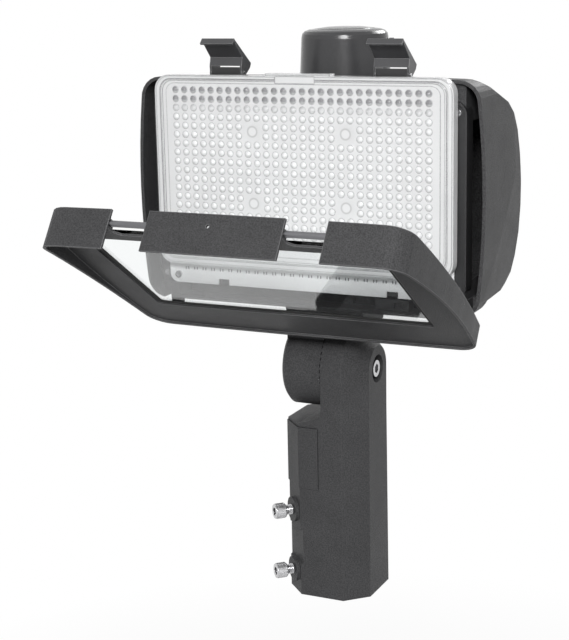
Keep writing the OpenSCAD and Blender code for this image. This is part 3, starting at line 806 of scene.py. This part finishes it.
@dataclass
class ClampBolt:
    """A knurled clamp bolt, on the same axis and of the same size as its solid.

    It is shaped upright over the origin, then laid down and turned to its heading, in degrees.
    The knurl's ridges stand between sunken facets, with a plain band at both ends. The ends'
    radius is a share of the head's, and the thread's root is a share of the shank's.
    """

    node: str
    body: str
    heading: float = -135.0
    head_low: float = 56.5 * MM
    head_high: float = 67.0 * MM
    ridges: int = 36
    ridge_half: float = 0.12 * MM
    ridge_high: float = 0.3 * MM
    plain_band: float = 0.9 * MM
    end_ring: float = 1.1 * MM
    end_share: float = 0.93
    socket_r: float = 4.2 * MM
    socket_depth: float = 5.0 * MM
    shank_low: float = 31.2 * MM
    shank_r: float = 5.0 * MM
    root_share: float = 0.86
    pitch: float = 1.5 * MM
    smooth_to: float = 25.0

    @property
    def height(self) -> float:
        """Returns the height of the bolt's axis."""
        low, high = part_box(self.node)
        return (low.z + high.z) / 2

    @property
    def head_r(self) -> float:
        """Returns the radius of the head."""
        low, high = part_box(self.node)
        return (high.z - low.z) / 2

    def _head(self) -> bpy.types.Object:
        """Shapes the knurled head with its hexagon socket.

        Returns:
            The head.
        """
        Modeller.deselect()
        bpy.ops.mesh.primitive_cylinder_add(
            vertices=self.ridges,
            radius=self.head_r,
            depth=self.head_high - self.head_low,
            location=(0, 0, (self.head_low + self.head_high) / 2),
        )
        head = bpy.context.active_object
        Modeller.settle(head)
        Modeller.pick_faces(head, lambda normal: abs(normal.z) > FACING)
        bpy.ops.mesh.inset(thickness=self.end_ring, depth=0.0, use_individual=True)
        Modeller.pick_faces(head, lambda normal: math.hypot(normal.x, normal.y) > FACING)
        bpy.ops.mesh.inset(thickness=self.plain_band, depth=0.0, use_even_offset=True)
        bpy.ops.mesh.inset(thickness=self.ridge_half, depth=-self.ridge_high, use_individual=True)
        self._chamfer_ends(head)
        self._cut_socket(head)
        return head

    def _chamfer_ends(self, head: bpy.types.Object) -> None:
        """Draws the outer rims in, so that both ends of the head are chamfered.

        Args:
            head: The head, as the active object.
        """
        radius = self.head_r
        ends = (self.head_low, self.head_high)

        def on_rim(place: Vector) -> bool:
            """Tells whether a point is on one of the two outer rims."""
            wide = math.hypot(place.x, place.y) > radius - TOUCH
            return wide and min(abs(place.z - end) for end in ends) < TOUCH

        Modeller.pick_points(head, on_rim)
        bpy.ops.transform.resize(
            value=(self.end_share, self.end_share, 1.0), center_override=(0, 0, sum(ends) / 2)
        )
        bpy.ops.object.mode_set(mode="OBJECT")

    def _cut_socket(self, head: bpy.types.Object) -> None:
        """Cuts the hexagon socket into the head.

        Args:
            head: The head.
        """
        Modeller.deselect()
        bpy.ops.mesh.primitive_cylinder_add(
            vertices=6,
            radius=self.socket_r,
            depth=2 * self.socket_depth,
            location=(0, 0, self.head_high),
        )
        cutter = bpy.context.active_object
        cut = head.modifiers.new("socket", "BOOLEAN")
        cut.operation = "DIFFERENCE"
        cut.solver = "EXACT"
        cut.object = cutter
        Modeller.apply(head)
        bpy.data.objects.remove(cutter)

    def _flank(self, low_r: float, high_r: float, low: float, high: float) -> bpy.types.Object:
        """Adds one flank of the thread.

        Args:
            low_r: The radius at its lower end.
            high_r: The radius at its upper end.
            low: Where it begins.
            high: Where it ends.

        Returns:
            The flank, open at both ends.
        """
        Modeller.deselect()
        bpy.ops.mesh.primitive_cone_add(
            vertices=32,
            radius1=low_r,
            radius2=high_r,
            depth=high - low,
            end_fill_type="NOTHING",
            location=(0, 0, (low + high) / 2),
        )
        return bpy.context.active_object

    def _shank(self) -> bpy.types.Object:
        """Shapes the threaded shank, made of one turn that is repeated.

        Returns:
            The shank.
        """
        turns = round((self.head_low - self.shank_low) / self.pitch)
        step = (self.head_low - self.shank_low) / turns
        root_r = self.shank_r * self.root_share
        low, crest, high = (self.shank_low + step * share for share in (0.0, 0.5, 1.0))
        rise = self._flank(root_r, self.shank_r, low, crest)
        fall = self._flank(self.shank_r, root_r, crest, high)
        shank = Modeller.join([rise, fall], "shank")
        Modeller.settle(shank)
        turn = shank.modifiers.new("turns", "ARRAY")
        turn.count = turns
        turn.use_relative_offset = False
        turn.use_constant_offset = True
        turn.constant_offset_displace = (0, 0, step)
        Modeller.apply(shank)
        bpy.ops.object.mode_set(mode="EDIT")
        bpy.ops.mesh.select_mode(type="VERT")
        bpy.ops.mesh.select_all(action="SELECT")
        bpy.ops.mesh.remove_doubles(threshold=TOUCH)
        bpy.ops.mesh.select_all(action="DESELECT")
        bpy.ops.mesh.select_non_manifold()
        bpy.ops.mesh.fill_holes(sides=0)
        bpy.ops.mesh.select_all(action="SELECT")
        bpy.ops.mesh.normals_make_consistent(inside=False)
        bpy.ops.object.mode_set(mode="OBJECT")
        return shank

    def build(self) -> None:
        """Builds the bolt where its solid is and hides that solid."""
        bolt = Modeller.join([self._head(), self._shank()], f"{self.node}_knurled")
        laid = Matrix.Rotation(math.radians(90), 4, "Y")
        turned = Matrix.Rotation(math.radians(self.heading), 4, "Z")
        Modeller.place(bolt, Matrix.Translation((0, 0, self.height)) @ turned @ laid)
        Modeller.smooth(bolt, self.smooth_to)
        Modeller.dress(bolt, Slot.BRIGHT_STEEL, self.body)
        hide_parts(self.node)


@dataclass
class BoardDetail:
    """The diodes and the row of small pads on the front of the board."""

    grid: LensGrid = GRID
    chip: float = 3.0 * MM
    chip_high: float = 0.65 * MM
    chip_rim: float = 0.35 * MM
    window_slope: float = 0.15 * MM
    window_depth: float = 0.2 * MM
    boss_room: float = 5.0 * MM
    pad: Point = (1.1 * MM, 0.4 * MM, 2.6 * MM)
    pad_edge: float = 0.15 * MM
    pad_aside: float = 1.4 * MM
    pad_up: float = 14.0 * MM

    def _spread(
        self, seed: bpy.types.Object, places: list[Point], name: str
    ) -> bpy.types.Object:
        """Copies a seed to all places, each copy with its own mesh, and joins them.

        Args:
            seed: The piece to copy, at the origin.
            places: Where the copies go.
            name: The joined object's name.

        Returns:
            The joined object.
        """
        copies = []
        for place in places:
            copy = seed.copy()
            copy.data = seed.data.copy()
            copy.location = place
            bpy.context.collection.objects.link(copy)
            copies.append(copy)
        bpy.data.objects.remove(seed)
        joined = Modeller.join(copies, name)
        Modeller.settle(joined)
        return joined

    def _chip(self) -> bpy.types.Object:
        """Shapes one diode with its sunken window, facing forward at the origin.

        Returns:
            The diode.
        """
        chip = Modeller.block((self.chip, self.chip_high, self.chip))
        Modeller.pick_faces(chip, lambda normal: normal.y < -FACING)
        bpy.ops.mesh.inset(thickness=self.chip_rim, depth=0.0)
        bpy.ops.mesh.inset(thickness=self.window_slope, depth=-self.window_depth)
        bpy.ops.object.mode_set(mode="OBJECT")
        return chip

    def _diodes(self) -> None:
        """Builds a diode behind each lens that has board behind it and no boss."""
        low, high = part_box("led_board")
        middle = self.grid.middle_z
        boss_x, boss_z = self.grid.boss
        places = []
        for x in self.grid.across():
            for up in self.grid.upwards():
                from_boss = max(abs(abs(x) - boss_x), abs(abs(up) - boss_z))
                on_board = middle + up + self.chip / 2 < high.z
                if from_boss >= self.boss_room and on_board:
                    places.append((x, low.y - self.chip_high / 2, middle + up))
        diodes = self._spread(self._chip(), places, "board_diodes")
        Modeller.dress(diodes, Slot.WHITE_BOARD, "head")

    def _pads(self) -> None:
        """Builds the row of pads, a pair below each column of lenses."""
        pad = Modeller.block(self.pad)
        edge = pad.modifiers.new("edge", "BEVEL")
        edge.width = self.pad_edge
        edge.segments = 1
        Modeller.apply(pad)
        low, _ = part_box("led_board")
        places = [
            (x + side, low.y - self.pad[1] / 2, low.z + self.pad_up)
            for x in self.grid.across()
            for side in (-self.pad_aside, self.pad_aside)
        ]
        pads = self._spread(pad, places, "board_pads")
        Modeller.dress(pads, Slot.DULL_STEEL, "head")

    def build(self) -> None:
        """Builds the diodes and the pads."""
        self._diodes()
        self._pads()


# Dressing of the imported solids


def dress_nodes(frame: dict) -> None:
    """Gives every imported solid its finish.
    """
    slots = {s["node"]: Slot(s["material_slot"]) for s in frame["record"]["subparts"]}
    for name, node in frame["nodes"].items():
        node.data.materials.clear()
        finish = OWN_FINISHES.get(name, FINISHES[slots[name]])
        node.data.materials.append(finish.material())
    LOG.info("%d solids dressed", len(slots))


# Studio


@dataclass
class Lamp:
    """A soft square lamp that looks at a point."""

    name: str
    place: Point
    aim: Point
    size: float
    watts: float

    def build(self) -> None:
        """Adds the lamp, turned to its aim."""
        data = bpy.data.lights.new(self.name, "AREA")
        data.shape = "SQUARE"
        data.size = self.size
        data.energy = self.watts
        lamp = bpy.data.objects.new(self.name, data)
        bpy.context.collection.objects.link(lamp)
        lamp.location = self.place
        way = Vector(self.aim) - Vector(self.place)
        lamp.rotation_euler = way.to_track_quat("-Z", "Y").to_euler()


@dataclass
class Studio:
    """The floor, the lamps, the pale world and the camera."""

    ambient: float = 0.36
    floor_z: float = -0.30
    floor_size: float = 14.0
    floor_colour: Colour = (0.45, 0.45, 0.45)
    floor_roughness: float = 0.9
    floor_specular: float = 0.1
    # the floor's share of white is near_white up to the first distance and all from the second
    shadow_reach: tuple[float, float] = (0.15, 0.75)
    near_white: float = 0.82
    camera_place: Point = (0.5602, -1.2815, 0.5900)
    camera_right: Point = (0.9033, 0.4285, -0.0204)
    camera_up: Point = (-0.0787, 0.2124, 0.9740)
    lens: float = 84.974
    sensor: float = 36.0
    clip: tuple[float, float] = (0.05, 60.0)

    def camera(self) -> None:
        """Adds the camera at the photograph's place."""
        data = bpy.data.cameras.new("photo_camera")
        data.lens = self.lens
        data.sensor_width = self.sensor
        data.clip_start, data.clip_end = self.clip
        camera = bpy.data.objects.new("photo_camera", data)
        bpy.context.collection.objects.link(camera)
        right = Vector(self.camera_right).normalized()
        back = right.cross(Vector(self.camera_up)).normalized()
        up = back.cross(right)
        turn = Matrix((right, up, back)).transposed().to_4x4()
        camera.matrix_world = Matrix.Translation(self.camera_place) @ turn
        bpy.context.scene.camera = camera

    def _seen_white(self, tree: Tree) -> Socket:
        """Finds the rays that see the background white.

        Args:
            tree: The nodes of the world or of the floor.

        Returns:
            The output that is 1 for rays from the camera and mirrored or refracted ones.
        """
        path = tree.add("ShaderNodeLightPath")
        total = path.outputs["Is Camera Ray"]
        for label in ("Is Glossy Ray", "Is Transmission Ray"):
            total = tree.math("MAXIMUM", total, path.outputs[label])
        return total

    def world(self) -> None:
        """Builds the world: white where it is seen, softer as a light."""
        world = bpy.data.worlds.new("studio_world")
        bpy.context.scene.world = world
        world.use_nodes = True
        tree = Tree(world.node_tree)
        sky = world.node_tree.nodes["Background"]
        tree.feed(WHITE, sky.inputs["Color"])
        level = tree.ramp(self._seen_white(tree), first=self.ambient)
        tree.link(level, sky.inputs["Strength"])

    def _floor_material(self) -> bpy.types.Material:
        """Builds the floor's material, a pale one that glows white where it is seen.

        Returns:
            The material.
        """
        material = bpy.data.materials.new("pale_floor")
        material.use_nodes = True
        tree = Tree(material.node_tree)
        nodes = material.node_tree.nodes
        plain = nodes["Principled BSDF"]
        tree.feed(self.floor_colour, plain.inputs["Base Color"])
        plain.inputs["Roughness"].default_value = self.floor_roughness
        plain.inputs["Specular IOR Level"].default_value = self.floor_specular
        glow = tree.add("ShaderNodeEmission")
        tree.feed(WHITE, glow.inputs["Color"])
        away = tree.ramp(tree.length(tree.place()), *self.shadow_reach, first=self.near_white)
        blend = tree.add("ShaderNodeMixShader")
        tree.link(tree.math("MULTIPLY", self._seen_white(tree), away), blend.inputs["Fac"])
        tree.link(plain.outputs["BSDF"], blend.inputs[1])
        tree.link(glow.outputs["Emission"], blend.inputs[2])
        tree.link(blend.outputs["Shader"], nodes["Material Output"].inputs["Surface"])
        return material

    def floor(self) -> None:
        """Builds the pale floor, which keeps the object's shadow."""
        Modeller.deselect()
        bpy.ops.mesh.primitive_plane_add(size=self.floor_size, location=(0, 0, self.floor_z))
        floor = bpy.context.active_object
        floor.name = "studio_floor"
        floor.data.materials.append(self._floor_material())

    def lamps(self) -> None:
        """Adds the soft lamps."""
        for lamp in (
            Lamp("key_lamp", (0.8, -2.1, 1.35), (0, 0, 0.35), size=0.6, watts=56),
            Lamp("side_lamp", (2.2, -0.9, -0.1), (0, 0, 0.2), size=0.7, watts=3),
            Lamp("back_lamp", (0.4, 1.9, 1.7), (0, 0, 0.3), size=0.9, watts=34),
        ):
            lamp.build()

    def build(self) -> None:
        """Builds the whole studio."""
        self.world()
        self.floor()
        self.lamps()
        self.camera()
        bpy.context.scene.view_settings.view_transform = "Standard"
        LOG.info("studio ready")


def main() -> None:
    """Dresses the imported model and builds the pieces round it."""
    logging.basicConfig(level=logging.INFO, format="%(name)s: %(message)s")
    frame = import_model()
    dress_nodes(frame)
    BoardDetail().build()
    ClampBolt("clamp_bolt_lower", "clamp_lower").build()
    ClampBolt("clamp_bolt_upper", "clamp_upper").build()
    Studio().build()


if __name__ == "__main__":
    main()
